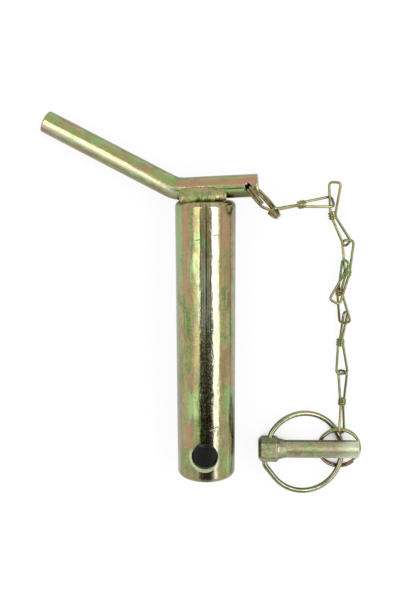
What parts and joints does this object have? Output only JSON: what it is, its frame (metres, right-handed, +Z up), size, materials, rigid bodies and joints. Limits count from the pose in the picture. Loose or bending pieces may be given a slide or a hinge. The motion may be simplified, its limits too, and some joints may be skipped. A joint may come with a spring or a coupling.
{
  "type": "top link pin",
  "caption": "Top link pin with a bent rod handle welded to its end and a cross hole near its tip, with a linch pin kept on a chain of knotted wire links.",
  "frame": {"origin": "on the pin's axis, half way along its length", "axes": "-Y along the pin toward its free end; +Z up from the surface the part lies on, with the handle, the cross hole and the chain laid out beside it; +X toward the chain"},
  "size_m": [0.1399, 0.1703, 0.0254],
  "materials": {
    "pin": "yellow passivated zinc, streaky sheen",
    "handle": "yellow passivated zinc, bright",
    "weld_front": "yellow passivated zinc over weld bead",
    "weld_rear": "yellow passivated zinc over weld bead",
    "handle_ring": "yellow passivated zinc",
    "chain_link_1": "yellow passivated zinc",
    "chain_link_2": "yellow passivated zinc",
    "chain_link_3": "yellow passivated zinc",
    "chain_link_4": "yellow passivated zinc",
    "chain_link_5": "yellow passivated zinc",
    "chain_link_6": "yellow passivated zinc",
    "linch_ring": "yellow passivated zinc",
    "hoop": "yellow passivated zinc on spring steel",
    "linch_pin": "yellow passivated zinc, mottled"
  },
  "bodies": {
    "pin_body": {"pin": "pin", "handle": "handle", "weld_front": "weld_front", "weld_rear": "weld_rear"},
    "handle_ring": {"handle_ring": "handle_ring"},
    "chain_link_1": {"chain_link_1": "chain_link_1"},
    "chain_link_2": {"chain_link_2": "chain_link_2"},
    "chain_link_3": {"chain_link_3": "chain_link_3"},
    "chain_link_4": {"chain_link_4": "chain_link_4"},
    "chain_link_5": {"chain_link_5": "chain_link_5"},
    "chain_link_6": {"chain_link_6": "chain_link_6"},
    "linch_ring": {"linch_ring": "linch_ring"},
    "hoop": {"hoop": "hoop"},
    "linch_pin": {"linch_pin": "linch_pin"}
  },
  "joints": [
    {"name": "handle_ring_swivel", "type": "hinge", "parent": "pin_body", "child": "handle_ring", "pos_m": [0.01788, 0.06667, 0.00211], "axis": [-0.1167, -0.1045, 0.9877], "range_deg": [-3, 120]},
    {"name": "link_1_swing", "type": "hinge", "parent": "handle_ring", "child": "chain_link_1", "pos_m": [0.02932, 0.0564, -0.00416], "axis": [0.4014, -0.5721, 0.7152], "range_deg": [-5, 30]},
    {"name": "link_2_turn", "type": "hinge", "parent": "chain_link_1", "child": "chain_link_2", "pos_m": [0.05409, 0.05694, -0.00921], "axis": [0, 0, 1], "range_deg": [-4, 14]},
    {"name": "link_3_lift", "type": "hinge", "parent": "chain_link_2", "child": "chain_link_3", "pos_m": [0.0621, 0.04087, -0.01061], "axis": [0.6428, 0.2359, -0.7288], "range_deg": [-30, 30]},
    {"name": "link_4_turn", "type": "hinge", "parent": "chain_link_3", "child": "chain_link_4", "pos_m": [0.06043, 0.02087, -0.00667], "axis": [0.3689, 0.1909, 0.9097], "range_deg": [0, 40]},
    {"name": "link_5_swing", "type": "hinge", "parent": "chain_link_4", "child": "chain_link_5", "pos_m": [0.06135, 0.00575, -0.00995], "axis": [-0.8007, 0.1509, -0.5798], "range_deg": [-30, 30]},
    {"name": "link_6_swing", "type": "hinge", "parent": "chain_link_5", "child": "chain_link_6", "pos_m": [0.06162, -0.01836, -0.00988], "axis": [0.901, 0.065, -0.429], "range_deg": [-30, 30]},
    {"name": "linch_ring_turn", "type": "hinge", "parent": "chain_link_6", "child": "linch_ring", "pos_m": [0.06083, -0.05301, -0.00986], "axis": [-0.0604, -0.1478, 0.9872], "range_deg": [-12, 30]},
    {"name": "hoop_swing", "type": "hinge", "parent": "linch_ring", "child": "hoop", "pos_m": [0.05838, -0.04411, -0.00942], "axis": [-0.9618, -0.256, -0.097], "range_deg": [0, 50]},
    {"name": "linch_pin_open", "type": "hinge", "parent": "hoop", "child": "linch_pin", "pos_m": [0.02783, -0.05171, -0.00579], "axis": [-0.2256, -0.9589, 0.1723], "range_deg": [0, 120]}
  ]
}
